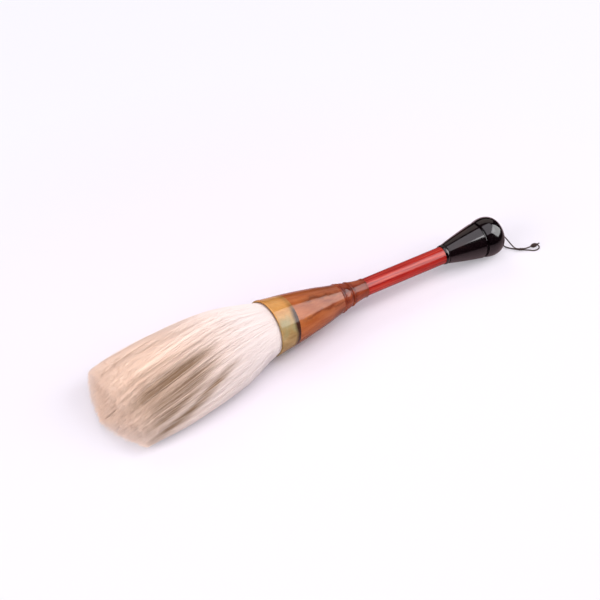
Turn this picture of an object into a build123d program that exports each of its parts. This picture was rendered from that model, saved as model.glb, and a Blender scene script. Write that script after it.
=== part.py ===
"""A large calligraphy brush with a goat-hair tuft, lying on its tuft and on its cap.

Millimetres. +X runs along the brush from the tuft to the cap, +Z is up, and z = 0 is the surface
that the brush lies on. An outline of a turned piece gives pairs (along, out): the distance from
the cup's mouth along the brush's own axis, and the radius about that axis.
"""

from build123d import *
import os
from math import atan2, cos, pi, radians, sin, tan

# ---- driving dimensions ---------------------------------------------------------------------

# Distances along the axis, from the mouth of the cup to the pole of the cap.
BAND_END = 16.4
SHOULDER_END = 46.0
CUP_END = 59.2
FRONT_RING_END = 62.6
BEAD_END = 67.4
REAR_RING_END = 70.4
COLLAR_END = 82.0
HANDLE_END = 149.4
CAP_RING_END = 152.6
CONE_END = 181.3
CROWN_START = 182.6
CROWN_END = 200.0

# Radii of the outside.
MOUTH_RADIUS = 20.1
BAND_END_RADIUS = 18.0
SHOULDER_END_RADIUS = 13.1
CUP_END_RADIUS = 10.2
FIRST_LINE_RADIUS = 10.55
FRONT_BED_RADIUS = 9.75
SECOND_LINE_RADIUS = 10.1
BEAD_START_RADIUS = 9.5
BEAD_END_RADIUS = 8.4
REAR_BED_RADIUS = 8.0
THIRD_LINE_RADIUS = 8.8
COLLAR_START_RADIUS = 8.2
COLLAR_END_RADIUS = 6.5
HANDLE_RADIUS = 6.2
CONE_START_RADIUS = 6.95
CONE_END_RADIUS = 12.6
CROWN_GROOVE_RADIUS = 11.4
CROWN_RADIUS = 14.0

# Pairs (along, out) that the curved outlines pass through between their ends.
SHOULDER_THROUGH = (31.0, 15.8)
CUP_REAR_THROUGH = (52.4, 11.6)
BEAD_THROUGH = (65.1, 9.25)
COLLAR_THROUGH = (75.4, 7.15)
CONE_THROUGH = (166.0, 9.95)

# What is inside.
MOUTH_BORE_RADIUS = 18.6
BORE_END_RADIUS = 6.0
CUP_WALL = 1.4
SPIGOT_LENGTH = 3.2
TENON_RADIUS = 4.0
FRONT_TENON_START = 44.0
FRONT_SOCKET_START = 50.0
COLLAR_COUNTERBORE = 2.0
REAR_TENON_END = 171.0
CROWN_TENON_START = 172.0
CROWN_TENON_RADIUS = 6.0
CORD_HOLE_RADIUS = 1.3
CORD_HOLE_DEPTH = 9.0
CORD_FLARE_DEPTH = 1.3
PEG_TO_CORD = 0.7
PEG_LENGTH = 6.0

# The dome of the crown is three arcs from its pole: their radii, and how far each one turns.
DOME_RADIUS = 26.0
DOME_TURN = 20.0
CORNER_RADIUS = 7.0
CORNER_TURN = 45.0

# Hair.
TUFT_LENGTH = 133.0
BUNDLE_RADIUS = 16.2
ROOTS_START = 10.5
ROOTS_END = 13.5
ROSIN_END = 34.0
BINDING_THICKNESS = 0.8

# Cord.
CORD_DIAMETER = 0.9
KNOT_RADIUS = 1.3
END_KNOT_RADIUS = 1.65
KNOT_END_RADIUS = 0.75

# ---- how the brush lies ---------------------------------------------------------------------

corner_top = DOME_RADIUS * sin(radians(DOME_TURN)) + CORNER_RADIUS * (
    sin(radians(DOME_TURN + CORNER_TURN)) - sin(radians(DOME_TURN))
)
corner_end = (
    CROWN_END
    - DOME_RADIUS * (1 - cos(radians(DOME_TURN)))
    - CORNER_RADIUS * (cos(radians(DOME_TURN)) - cos(radians(DOME_TURN + CORNER_TURN)))
)
side_radius = (CROWN_RADIUS - corner_top) / (1 - sin(radians(DOME_TURN + CORNER_TURN)))
crown_widest = corner_end - side_radius * cos(radians(DOME_TURN + CORNER_TURN))

# The widest circle of the crown touches z = 0, and the tuft holds the rim just clear of it.
RIM_CLEARANCE = 0.3
tilt = atan2(MOUTH_RADIUS + RIM_CLEARANCE - CROWN_RADIUS, crown_widest)
mouth_height = MOUTH_RADIUS * cos(tilt) + RIM_CLEARANCE
mouth_x = (TUFT_LENGTH - CROWN_END) * cos(tilt) / 2
axis_direction = (cos(tilt), 0, -sin(tilt))
brush_axis = Axis((mouth_x, 0, mouth_height), axis_direction)

# Turned outlines are drawn on this plane: its x is the distance along, its y the radius.
half_section = Plane((mouth_x, 0, mouth_height), x_dir=axis_direction, z_dir=(0, -1, 0))


def cross_section(along):
    """The plane across the brush at a distance along its axis, facing the cap."""
    origin = half_section.from_local_coords((along, 0, 0))
    return Plane(origin, x_dir=(0, 1, 0), z_dir=axis_direction)


os.makedirs("parts", exist_ok=True)


def finish(part, name):
    """Label a piece and write it to its own file."""
    part.label = name
    export_step(part, f"parts/{name}.step")


def turned_piece(name, *outline):
    """A piece of revolution whose outline is straight between its corners."""
    with BuildPart() as piece:
        with BuildSketch(half_section):
            with BuildLine():
                Polyline(*outline, close=True)
            make_face()
        revolve(axis=brush_axis)
    finish(piece.part, name)


# ---- hair -----------------------------------------------------------------------------------

# How the tuft lies, from its roots to its tip: the distance forward of the mouth, half its width,
# its height above and below its middle, and how high that middle is over the surface. Where the
# height below is the larger of the last two, the tuft is flat on the surface.
ROOT_STATION_HEIGHT = mouth_height - ROOTS_START * sin(tilt)
TUFT_STATIONS = (
    (-ROOTS_START, BUNDLE_RADIUS, BUNDLE_RADIUS, BUNDLE_RADIUS, ROOT_STATION_HEIGHT),
    (0.0, 18.2, 18.2, 18.2, mouth_height),
    (12.0, 23.4, 23.2, 18.6, 19.0),
    (30.0, 29.8, 30.0, 16.75, 16.0),
    (50.0, 34.9, 31.2, 14.95, 14.2),
    (72.0, 38.9, 27.8, 13.35, 12.6),
    (94.0, 41.8, 22.8, 12.15, 11.4),
    (112.0, 40.6, 18.6, 11.25, 10.5),
    (TUFT_LENGTH, 38.4, 14.6, 9.95, 9.2),
)
RING_COUNT = 11
STRANDS_PER_RING_STEP = 6
STRAND_THICKNESS = 0.64
STRAND_WIDTH = 0.78
SKIN_DEPTH = (RING_COUNT - 0.5 + STRAND_THICKNESS / 2) / RING_COUNT
TIP_SHARE = 0.35
LAYER_GAP = 0.12
UNDERSIDE_POWER = 0.72
SETTLED_FROM = 30.0
TIP_SCATTER = 6.0
TIP_ROUNDING = 7.0
TIP_SLANT = 2.5
GOLDEN_STEP = 0.618034


def tuft_station(forward):
    """Half width, height above, height below and middle height at a distance forward."""
    for near, far in zip(TUFT_STATIONS, TUFT_STATIONS[1:]):
        if forward <= far[0]:
            break
    share = (forward - near[0]) / (far[0] - near[0])
    return [a + (b - a) * share for a, b in zip(near[1:], far[1:])]


def tuft_point(forward, depth, angle):
    """A point of the tuft: depth is 0 at its middle and 1 at its skin, angle goes round it.

    Below its middle the sine of the angle is raised to a power under one, which squares the
    underside off, and its reach ends where the outermost hair lies flat on the surface.
    """
    half_width, above, below, middle = tuft_station(forward)
    settled = min(max(forward, 0.0) / SETTLED_FROM, 1.0)
    lift = sin(angle)
    if lift >= 0:
        height = above * depth * lift
    else:
        reach = below * (-lift) ** (1 - (1 - UNDERSIDE_POWER) * settled)
        height = -depth * min(reach, middle / SKIN_DEPTH)
    # Inside the cup the sections lie across the brush's axis, and further out they are upright.
    lean = height * tan(tilt) * (1 - settled)
    return mouth_x - forward * cos(tilt) + lean, half_width * depth * cos(angle), middle + height


def strand_sections(ring, number):
    """The four-sided sections of one strand, from its root to its tip, in its own cell."""
    count = STRANDS_PER_RING_STEP * ring
    depth = (ring - 0.5) / RING_COUNT
    angle = (number + 0.5) * 2 * pi / count
    # Outer hairs end sooner than inner ones, and so do those of one side, so the end of the tuft
    # is a blunt dome with a slant.
    scatter = ((ring * 31 + number) * GOLDEN_STEP) % 1.0
    length = TUFT_LENGTH - TIP_SCATTER * scatter - TIP_ROUNDING * depth**3
    length -= TIP_SLANT * depth * (1 + cos(angle))
    sections = []
    for stop in [station[0] for station in TUFT_STATIONS[:-1]] + [length]:
        share = TIP_SHARE if stop == length else 1.0
        thick = share * STRAND_THICKNESS / RING_COUNT / 2
        wide = share * STRAND_WIDTH * pi / count
        corners = (
            (depth - thick, angle - wide),
            (depth + thick, angle - wide),
            (depth + thick, angle + wide),
            (depth - thick, angle + wide),
        )
        sections.append(Wire.make_polygon([tuft_point(stop, *corner) for corner in corners]))
    return sections


def hair_layer(name, first_ring, last_ring):
    """Rings of strands that grow out of the slice of glued roots that holds them, as one solid."""
    with BuildPart() as roots:
        with BuildSketch(cross_section(ROOTS_START)):
            Circle(BUNDLE_RADIUS * (last_ring - LAYER_GAP) / RING_COUNT)
            if first_ring > 1:
                inner_ring = first_ring - 1 + LAYER_GAP
                Circle(BUNDLE_RADIUS * inner_ring / RING_COUNT, mode=Mode.SUBTRACT)
        extrude(amount=ROOTS_END - ROOTS_START)
    front, *other_faces = roots.faces().sort_by(brush_axis)
    strand_faces = []
    root_wires = []
    for ring in range(first_ring, last_ring + 1):
        for number in range(STRANDS_PER_RING_STEP * ring):
            loft_faces = Solid.make_loft(strand_sections(ring, number)).faces()
            root = loft_faces.sort_by(brush_axis)[-1]
            root_wires.append(root.outer_wire())
            strand_faces += [face for face in loft_faces if not face.is_same(root)]
    holed_front = Face(front.outer_wire(), list(front.inner_wires()) + root_wires)
    layer = Solid(Shell([holed_front, *other_faces, *strand_faces]))
    print(name, len(root_wires), "strands, valid", layer.is_valid, "volume", round(layer.volume))
    finish(Part(layer.wrapped), name)


hair_layer("core_hair", 1, 5)
hair_layer("lining_hair", 6, 8)
hair_layer("cover_hair", 9, RING_COUNT)

# ---- what holds the hair in the cup ---------------------------------------------------------

BAND_BORE_RADIUS = BAND_END_RADIUS - CUP_WALL


def bore_radius(along):
    """Radius of the cup's bore, which is two cones that meet where the band ends."""
    if along <= BAND_END:
        return MOUTH_BORE_RADIUS + (BAND_BORE_RADIUS - MOUTH_BORE_RADIUS) * along / BAND_END
    share = (along - BAND_END) / (CUP_END - BAND_END)
    return BAND_BORE_RADIUS + (BORE_END_RADIUS - BAND_BORE_RADIUS) * share


# A thread is wound round the glued roots.
binding_radius = BUNDLE_RADIUS * (RING_COUNT - LAYER_GAP) / RING_COUNT
turned_piece(
    "root_binding",
    (ROOTS_START, binding_radius),
    (ROOTS_END, binding_radius),
    (ROOTS_END, binding_radius + BINDING_THICKNESS),
    (ROOTS_START, binding_radius + BINDING_THICKNESS),
)

# Rosin fills the cup behind the roots.
turned_piece(
    "root_rosin",
    (ROOTS_END, 0),
    (ROOTS_END, bore_radius(ROOTS_END)),
    (BAND_END, BAND_BORE_RADIUS),
    (ROSIN_END, bore_radius(ROSIN_END)),
    (ROSIN_END, 0),
)

# ---- cup ------------------------------------------------------------------------------------

SPIGOT_START = BAND_END - SPIGOT_LENGTH
SPIGOT_RADIUS = BAND_END_RADIUS - 0.4 * CUP_WALL
LIP_RADIUS = 0.45
BAND_HOLLOW = 0.12

# The pale band at the mouth flares a little and sits on a spigot of the cup.
with BuildPart() as mouth_band:
    with BuildSketch(half_section):
        with BuildLine():
            ThreePointArc(
                (0, MOUTH_RADIUS),
                (BAND_END / 2, (MOUTH_RADIUS + BAND_END_RADIUS) / 2 - BAND_HOLLOW),
                (BAND_END, BAND_END_RADIUS),
            )
            Polyline(
                (BAND_END, BAND_END_RADIUS),
                (BAND_END, SPIGOT_RADIUS),
                (SPIGOT_START, SPIGOT_RADIUS),
                (SPIGOT_START, bore_radius(SPIGOT_START)),
                (0, MOUTH_BORE_RADIUS),
                (0, MOUTH_RADIUS),
            )
        make_face()
    revolve(axis=brush_axis)
    rim = mouth_band.edges().filter_by(GeomType.CIRCLE).sort_by(Axis.X)[0:2]
    fillet(rim, radius=LIP_RADIUS)
finish(mouth_band.part, "mouth_band")

# The cup swells from the band, then runs slightly hollow to the neck.
with BuildPart() as horn_cup:
    with BuildSketch(half_section):
        with BuildLine():
            ThreePointArc(
                (BAND_END, BAND_END_RADIUS),
                SHOULDER_THROUGH,
                (SHOULDER_END, SHOULDER_END_RADIUS),
            )
            ThreePointArc(
                (SHOULDER_END, SHOULDER_END_RADIUS),
                CUP_REAR_THROUGH,
                (CUP_END, CUP_END_RADIUS),
            )
            Polyline(
                (CUP_END, CUP_END_RADIUS),
                (CUP_END, TENON_RADIUS),
                (FRONT_SOCKET_START, TENON_RADIUS),
                (FRONT_SOCKET_START, bore_radius(FRONT_SOCKET_START)),
                (BAND_END, BAND_BORE_RADIUS),
                (SPIGOT_START, bore_radius(SPIGOT_START)),
                (SPIGOT_START, SPIGOT_RADIUS),
                (BAND_END, SPIGOT_RADIUS),
                (BAND_END, BAND_END_RADIUS),
            )
        make_face()
    revolve(axis=brush_axis)
finish(horn_cup.part, "horn_cup")

# ---- neck -----------------------------------------------------------------------------------

# The front ring carries a pair of fine raised lines.
LINE_WIDTH = 1.4
with BuildPart() as front_neck_ring:
    with BuildSketch(half_section):
        with BuildLine():
            ThreePointArc(
                (CUP_END, CUP_END_RADIUS),
                (CUP_END + LINE_WIDTH / 2, FIRST_LINE_RADIUS),
                (CUP_END + LINE_WIDTH, FRONT_BED_RADIUS),
            )
            Line(
                (CUP_END + LINE_WIDTH, FRONT_BED_RADIUS),
                (FRONT_RING_END - LINE_WIDTH, FRONT_BED_RADIUS),
            )
            ThreePointArc(
                (FRONT_RING_END - LINE_WIDTH, FRONT_BED_RADIUS),
                (FRONT_RING_END - LINE_WIDTH / 2, SECOND_LINE_RADIUS),
                (FRONT_RING_END, BEAD_START_RADIUS),
            )
            Polyline(
                (FRONT_RING_END, BEAD_START_RADIUS),
                (FRONT_RING_END, TENON_RADIUS),
                (CUP_END, TENON_RADIUS),
                (CUP_END, CUP_END_RADIUS),
            )
        make_face()
    revolve(axis=brush_axis)
finish(front_neck_ring.part, "front_neck_ring")

with BuildPart() as neck_bead:
    with BuildSketch(half_section):
        with BuildLine():
            ThreePointArc(
                (FRONT_RING_END, BEAD_START_RADIUS), BEAD_THROUGH, (BEAD_END, BEAD_END_RADIUS)
            )
            Polyline(
                (BEAD_END, BEAD_END_RADIUS),
                (BEAD_END, TENON_RADIUS),
                (FRONT_RING_END, TENON_RADIUS),
                (FRONT_RING_END, BEAD_START_RADIUS),
            )
        make_face()
    revolve(axis=brush_axis)
finish(neck_bead.part, "neck_bead")

# The rear ring is a groove with a small raised line in it.
REAR_RING_MIDDLE = (BEAD_END + REAR_RING_END) / 2
with BuildPart() as rear_neck_ring:
    with BuildSketch(half_section):
        with BuildLine():
            Line((BEAD_END, REAR_BED_RADIUS), (REAR_RING_MIDDLE - LINE_WIDTH / 2, REAR_BED_RADIUS))
            ThreePointArc(
                (REAR_RING_MIDDLE - LINE_WIDTH / 2, REAR_BED_RADIUS),
                (REAR_RING_MIDDLE, THIRD_LINE_RADIUS),
                (REAR_RING_MIDDLE + LINE_WIDTH / 2, REAR_BED_RADIUS),
            )
            Polyline(
                (REAR_RING_MIDDLE + LINE_WIDTH / 2, REAR_BED_RADIUS),
                (REAR_RING_END, REAR_BED_RADIUS),
                (REAR_RING_END, TENON_RADIUS),
                (BEAD_END, TENON_RADIUS),
                (BEAD_END, REAR_BED_RADIUS),
            )
        make_face()
    revolve(axis=brush_axis)
finish(rear_neck_ring.part, "rear_neck_ring")

# The collar runs down hollow to the handle, takes its end in a counterbore and has a thin lip.
COLLAR_LIP = 0.25
LIP_SLOPE = 0.2
LIP_START = COLLAR_END - 0.9
with BuildPart() as neck_collar:
    with BuildSketch(half_section):
        with BuildLine():
            ThreePointArc(
                (REAR_RING_END, COLLAR_START_RADIUS),
                COLLAR_THROUGH,
                (LIP_START, COLLAR_END_RADIUS),
            )
            Polyline(
                (LIP_START, COLLAR_END_RADIUS),
                (LIP_START + LIP_SLOPE, COLLAR_END_RADIUS + COLLAR_LIP),
                (COLLAR_END - LIP_SLOPE / 2, COLLAR_END_RADIUS + COLLAR_LIP),
                (COLLAR_END, COLLAR_END_RADIUS + COLLAR_LIP / 2),
                (COLLAR_END, HANDLE_RADIUS),
                (COLLAR_END - COLLAR_COUNTERBORE, HANDLE_RADIUS),
                (COLLAR_END - COLLAR_COUNTERBORE, TENON_RADIUS),
                (REAR_RING_END, TENON_RADIUS),
                (REAR_RING_END, COLLAR_START_RADIUS),
            )
        make_face()
    revolve(axis=brush_axis)
finish(neck_collar.part, "neck_collar")

# ---- handle ---------------------------------------------------------------------------------

TENON_CHAMFER = 0.5
turned_piece(
    "handle",
    (FRONT_TENON_START, 0),
    (FRONT_TENON_START, TENON_RADIUS - TENON_CHAMFER),
    (FRONT_TENON_START + TENON_CHAMFER, TENON_RADIUS),
    (COLLAR_END - COLLAR_COUNTERBORE, TENON_RADIUS),
    (COLLAR_END - COLLAR_COUNTERBORE, HANDLE_RADIUS),
    (HANDLE_END, HANDLE_RADIUS),
    (HANDLE_END, TENON_RADIUS),
    (REAR_TENON_END - TENON_CHAMFER, TENON_RADIUS),
    (REAR_TENON_END, TENON_RADIUS - TENON_CHAMFER),
    (REAR_TENON_END, 0),
)

# ---- cap ------------------------------------------------------------------------------------

CAP_RING_EDGE_RADIUS = 6.5
CAP_RING_RADIUS = 7.0
with BuildPart() as cap_neck_ring:
    with BuildSketch(half_section):
        with BuildLine():
            ThreePointArc(
                (HANDLE_END, CAP_RING_EDGE_RADIUS),
                ((HANDLE_END + CAP_RING_END) / 2, CAP_RING_RADIUS),
                (CAP_RING_END, CAP_RING_EDGE_RADIUS),
            )
            Polyline(
                (CAP_RING_END, CAP_RING_EDGE_RADIUS),
                (CAP_RING_END, TENON_RADIUS),
                (HANDLE_END, TENON_RADIUS),
                (HANDLE_END, CAP_RING_EDGE_RADIUS),
            )
        make_face()
    revolve(axis=brush_axis)
finish(cap_neck_ring.part, "cap_neck_ring")

CONE_BEVEL_LENGTH = 1.1
CONE_BEVEL_DROP = 0.8
with BuildPart() as cap_cone:
    with BuildSketch(half_section):
        with BuildLine():
            ThreePointArc(
                (CAP_RING_END, CONE_START_RADIUS),
                CONE_THROUGH,
                (CONE_END - CONE_BEVEL_LENGTH, CONE_END_RADIUS),
            )
            Polyline(
                (CONE_END - CONE_BEVEL_LENGTH, CONE_END_RADIUS),
                (CONE_END, CONE_END_RADIUS - CONE_BEVEL_DROP),
                (CONE_END, CROWN_TENON_RADIUS),
                (CROWN_TENON_START, CROWN_TENON_RADIUS),
                (CROWN_TENON_START, TENON_RADIUS),
                (CAP_RING_END, TENON_RADIUS),
                (CAP_RING_END, CONE_START_RADIUS),
            )
        make_face()
    revolve(axis=brush_axis)
finish(cap_cone.part, "cap_cone")

# The crown stands off the cone by a groove. Its dome is arcs that run on from its pole, and the
# hole for the cord is flared so that the loop can swing.
CROWN_FRONT_RADIUS = CONE_END_RADIUS
with BuildPart() as cap_crown:
    with BuildSketch(half_section):
        with BuildLine():
            dome = JernArc((CROWN_END, 0), (0, 1), DOME_RADIUS, DOME_TURN)
            corner = JernArc(dome @ 1, dome % 1, CORNER_RADIUS, CORNER_TURN)
            side = JernArc(corner @ 1, corner % 1, side_radius, 90 - DOME_TURN - CORNER_TURN)
            TangentArc(side @ 1, (CROWN_START, CROWN_FRONT_RADIUS), tangent=side % 1)
            Polyline(
                (CROWN_START, CROWN_FRONT_RADIUS),
                (CROWN_START, CROWN_GROOVE_RADIUS),
                (CONE_END, CROWN_GROOVE_RADIUS),
                (CONE_END, CROWN_TENON_RADIUS),
                (CROWN_TENON_START, CROWN_TENON_RADIUS),
                (CROWN_TENON_START, 0),
                (CROWN_END, 0),
            )
        make_face()
    revolve(axis=brush_axis)
    with Locations(cross_section(CROWN_END).location):
        CounterSinkHole(
            radius=CORD_HOLE_RADIUS,
            counter_sink_radius=CORD_HOLE_RADIUS + CORD_FLARE_DEPTH,
            depth=CORD_HOLE_DEPTH,
            counter_sink_angle=90,
        )
finish(cap_crown.part, "cap_crown")

# A peg holds the ends of the cord in the hole.
PEG_END = CROWN_END - CORD_FLARE_DEPTH - PEG_TO_CORD
with BuildPart() as cord_peg:
    with BuildSketch(cross_section(PEG_END - PEG_LENGTH)):
        Circle(CORD_HOLE_RADIUS)
    extrude(amount=PEG_LENGTH)
finish(cord_peg.part, "cord_peg")

# ---- cord -----------------------------------------------------------------------------------

# The cord leaves the crown at the foot of the flare, and its loop swings about that point.
cord_exit = half_section.from_local_coords((CROWN_END - CORD_FLARE_DEPTH, 0, 0))
print("cord exit", [round(value, 3) for value in cord_exit])

# A point of a route is how far it lies past the exit, how far to the side, and its height.
UPPER_LEG = (
    (0.0, -0.6, 13.7),
    (2.2, -1.0, 12.4),
    (4.9, -3.0, 9.8),
    (6.7, -5.4, 6.4),
    (8.0, -7.9, 3.6),
    (9.0, -10.3, 2.0),
    (11.0, -12.6, 1.95),
)
LOWER_LEG = (
    (0.0, 0.6, 13.7),
    (2.1, 0.6, 12.2),
    (4.2, 0.9, 8.5),
    (5.0, 0.2, 4.1),
    (5.1, -2.6, 0.85),
    (6.8, -5.4, 0.5),
    (8.9, -8.4, 0.55),
    (11.0, -11.8, 0.85),
)
EYE = (
    (12.8, -13.6, 1.95),
    (15.4, -14.6, 1.7),
    (18.4, -14.7, 1.7),
    (21.5, -14.8, 1.8),
    (24.4, -15.4, 1.8),
    (25.1, -16.8, 1.4),
    (24.3, -18.7, 0.9),
    (22.0, -19.4, 0.6),
    (19.4, -18.6, 0.5),
    (17.3, -16.5, 0.5),
    (15.0, -14.6, 0.6),
    (12.9, -13.2, 0.85),
)
KNOT_ENDS = ((10.4, -11.7, 1.4), (13.9, -14.0, 1.4))
END_KNOT_ENDS = ((19.9, -14.7, 1.8), (24.6, -15.5, 1.8))
TAIL_ENDS = ((24.2, -15.4, 1.8), (26.8, -15.5, 2.0))


def place(offset):
    """A point of the cord, from its place past the cord's exit."""
    return Vector(cord_exit.X + offset[0], offset[1], offset[2])


def bend_radii(points):
    """The radius at each corner of a route: as large as the two runs beside it allow."""
    radii = []
    for before, corner, after in zip(points, points[1:], points[2:]):
        shorter_run = min((corner - before).length, (after - corner).length)
        half_turn = radians((corner - before).get_angle(after - corner)) / 2
        radii.append(0.45 * shorter_run / tan(half_turn))
    return radii


def cord_tube(name, route):
    """A stretch of cord: a round section swept along straight runs joined by tangent arcs."""
    points = [place(offset) for offset in route]
    radii = bend_radii(points)
    with BuildPart() as tube:
        with BuildLine() as path:
            FilletPolyline(*points, radius=radii)
        with BuildSketch(Plane(path.line @ 0, z_dir=path.line % 0)):
            Circle(CORD_DIAMETER / 2)
        sweep(path=path.line)
    finish(tube.part, name)
    length = path.wire().length
    filled = tube.part.volume / (pi * CORD_DIAMETER**2 / 4 * length)
    print(name, "length", round(length, 1), "mm, volume ratio", round(filled, 3))
    print(name, "bend radii", [round(radius, 1) for radius in radii])
    return tube.part


def knot(name, ends, radius, tubes, tail=None):
    """A knot pulled tight: fat in the middle, and holed where the cord runs into it."""
    start, end = (place(offset) for offset in ends)
    along = end - start
    half_length = along.length / 2
    outline = Plane((start + end) / 2, x_dir=along, z_dir=along.cross(Vector(0, 0, 1)))
    with BuildPart() as body:
        with BuildSketch(outline):
            with BuildLine():
                ThreePointArc(
                    (-half_length, KNOT_END_RADIUS), (0, radius), (half_length, KNOT_END_RADIUS)
                )
                Polyline(
                    (half_length, KNOT_END_RADIUS),
                    (half_length, 0),
                    (-half_length, 0),
                    (-half_length, KNOT_END_RADIUS),
                )
            make_face()
        revolve(axis=Axis(start, along))
        if tail:
            tail_start, tail_end = (place(offset) for offset in tail)
            with BuildSketch(Plane(tail_start, z_dir=tail_end - tail_start)):
                Circle(CORD_DIAMETER / 2)
            extrude(amount=(tail_end - tail_start).length)
        add(tubes, mode=Mode.SUBTRACT)
    finish(body.part, name)


upper_leg = cord_tube("cord_upper_leg", UPPER_LEG)
lower_leg = cord_tube("cord_lower_leg", LOWER_LEG)
eye = cord_tube("cord_eye", EYE)
knot("cord_knot", KNOT_ENDS, KNOT_RADIUS, [upper_leg, lower_leg, eye])
knot("cord_end_knot", END_KNOT_ENDS, END_KNOT_RADIUS, [eye], tail=TAIL_ENDS)
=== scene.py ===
"""A large calligraphy brush with a goat-hair tuft, lying on its tuft and on its cap.

Metres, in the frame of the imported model: +X runs along the brush from the tuft to the cap, +Z is
up, and z = 0 is the surface that the brush lies on.
"""

from math import atan2, cos, pi, radians, sin, tan

import bpy
import numpy as np
from mathutils import Matrix, Vector


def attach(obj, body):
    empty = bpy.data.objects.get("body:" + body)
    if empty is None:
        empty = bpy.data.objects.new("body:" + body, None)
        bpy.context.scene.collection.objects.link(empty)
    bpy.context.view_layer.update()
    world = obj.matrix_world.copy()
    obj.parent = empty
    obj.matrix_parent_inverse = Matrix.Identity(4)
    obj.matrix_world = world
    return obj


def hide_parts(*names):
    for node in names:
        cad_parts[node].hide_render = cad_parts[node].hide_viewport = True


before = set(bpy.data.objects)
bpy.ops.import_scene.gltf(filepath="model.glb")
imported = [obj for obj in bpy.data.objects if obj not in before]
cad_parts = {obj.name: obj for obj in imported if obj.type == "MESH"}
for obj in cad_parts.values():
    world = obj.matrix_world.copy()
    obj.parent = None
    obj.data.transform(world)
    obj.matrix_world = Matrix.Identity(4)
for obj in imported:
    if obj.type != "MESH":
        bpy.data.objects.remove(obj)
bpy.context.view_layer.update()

MM = 0.001

# ---- the brush's own axis ---------------------------------------------------------------------

MOUTH_RADIUS = 20.1 * MM
CROWN_RADIUS = 14.0 * MM
RIM_CLEARANCE = 0.3 * MM
CROWN_WIDEST = 189.6 * MM
BRUSH_LENGTH = 200.0 * MM
TUFT_LENGTH = 133.0 * MM

tilt = atan2(MOUTH_RADIUS + RIM_CLEARANCE - CROWN_RADIUS, CROWN_WIDEST)
mouth = Vector(((TUFT_LENGTH - BRUSH_LENGTH) * cos(tilt) / 2, 0,
                MOUTH_RADIUS * cos(tilt) + RIM_CLEARANCE))
axis_direction = Vector((cos(tilt), 0, -sin(tilt)))


# ---- camera -----------------------------------------------------------------------------------

HEADING = radians(53.81)
DOWNWARD = radians(37.76)
TARGET = Vector((19.1 * MM, 33.05 * MM, 0))
DISTANCE = 2059 * MM
LENS = 180.0


def place_camera():
    """A long lens that looks down along the brush from in front of its tuft."""
    look = Vector((cos(DOWNWARD) * cos(HEADING), cos(DOWNWARD) * sin(HEADING), -sin(DOWNWARD)))
    right = Vector((sin(HEADING), -cos(HEADING), 0))
    up = right.cross(look)
    data = bpy.data.cameras.new("camera")
    data.lens = LENS
    data.sensor_width = 36.0
    data.clip_start = 0.05
    data.clip_end = 50.0
    camera = bpy.data.objects.new("camera", data)
    bpy.context.collection.objects.link(camera)
    turn = Matrix((right, up, -look)).transposed().to_4x4()
    camera.matrix_world = Matrix.Translation(TARGET - look * DISTANCE) @ turn
    bpy.context.scene.camera = camera


# ---- helpers ----------------------------------------------------------------------------------


def srgb(red, green, blue):
    """A colour as it looks on a screen, 0 to 255, as the linear values that a shader takes."""
    shares = np.array((red, green, blue)) / 255.0
    return np.where(shares <= 0.04045, shares / 12.92, ((shares + 0.055) / 1.055) ** 2.4)


def rgba(colour):
    """A linear colour with full alpha."""
    return (*[float(value) for value in colour], 1.0)


def mesh_object(name, points, quads, triangles=(), colours=None, smooth=True):
    """Put arrays of corner places, quads and triangles into one mesh object at the origin."""
    quads = np.asarray(quads, dtype=np.int32).reshape(-1, 4)
    triangles = np.asarray(triangles, dtype=np.int32).reshape(-1, 3)
    data = bpy.data.meshes.new(name)
    data.vertices.add(len(points))
    data.vertices.foreach_set("co", np.asarray(points, dtype=np.float32).ravel())
    corners = np.concatenate((quads.ravel(), triangles.ravel()))
    data.loops.add(len(corners))
    data.loops.foreach_set("vertex_index", corners)
    sizes = np.concatenate((np.full(len(quads), 4), np.full(len(triangles), 3))).astype(np.int32)
    starts = np.concatenate(((0,), np.cumsum(sizes)[:-1])).astype(np.int32)
    data.polygons.add(len(sizes))
    data.polygons.foreach_set("loop_start", starts)
    data.polygons.foreach_set("loop_total", sizes)
    data.polygons.foreach_set("use_smooth", np.full(len(sizes), smooth))
    if colours is not None:
        shade = data.attributes.new("hair_colour", "FLOAT_COLOR", "POINT")
        opaque = np.concatenate((colours, np.ones((len(colours), 1))), axis=1)
        shade.data.foreach_set("color", opaque.astype(np.float32).ravel())
    data.update(calc_edges=True)
    data.validate()
    piece = bpy.data.objects.new(name, data)
    bpy.context.collection.objects.link(piece)
    return piece


def grid_quads(rows, columns, wrapped=False):
    """Quads between the neighbours of a grid of points, whose columns may close into a ring."""
    row = np.arange(rows - 1)[:, None]
    column = np.arange(columns if wrapped else columns - 1)[None, :]
    following = (column + 1) % columns
    near, far = row * columns, (row + 1) * columns
    corners = (near + column, near + following, far + following, far + column)
    return np.stack(corners, axis=-1).reshape(-1, 4)


def end_fans(rows, columns):
    """Triangles that close both ends of a grid of rings, each on a point added after the grid."""
    ring = np.arange(columns)
    following = (ring + 1) % columns
    last = (rows - 1) * columns
    start_point, end_point = rows * columns, rows * columns + 1
    return np.concatenate((
        np.stack((np.full(columns, start_point), following, ring), axis=1),
        np.stack((np.full(columns, end_point), last + ring, last + following), axis=1)))


# A direction that no hair and no stretch of cord runs along, from which rings take their turn.
OFF_EVERY_PATH = np.array((0.05, 0.1, 1.0))


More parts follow.
